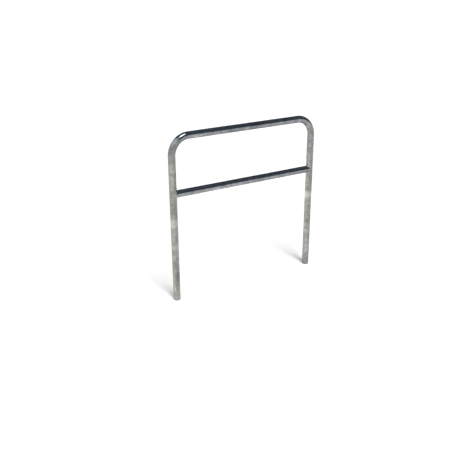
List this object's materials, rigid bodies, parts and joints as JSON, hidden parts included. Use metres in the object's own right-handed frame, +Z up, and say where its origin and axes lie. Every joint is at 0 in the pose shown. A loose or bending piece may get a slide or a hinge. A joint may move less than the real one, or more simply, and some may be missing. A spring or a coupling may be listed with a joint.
{
  "type": "hoop bike rack",
  "caption": "Bent-tube bicycle parking hoop with a welded mid rail, hot-dip galvanised, its open legs made to be set in the ground.",
  "frame": {"origin": "midway between the two leg ends, on the plane that they stand on", "axes": "+X along the hoop from the left leg to the right leg, +Y across its thickness, away from the picture's camera, +Z up"},
  "size_m": [1, 0.0444, 1],
  "materials": {
    "galvanised_tube": "hot-dip galvanised, satin grey with mottled zinc spangle",
    "galvanised_weld": "rippled weld bead under the same zinc coat"
  },
  "bodies": {
    "root": {"hoop": "galvanised_tube", "crossbar": "galvanised_tube", "crossbar_weld_left": "galvanised_weld", "crossbar_weld_right": "galvanised_weld"}
  },
  "joints": []
}
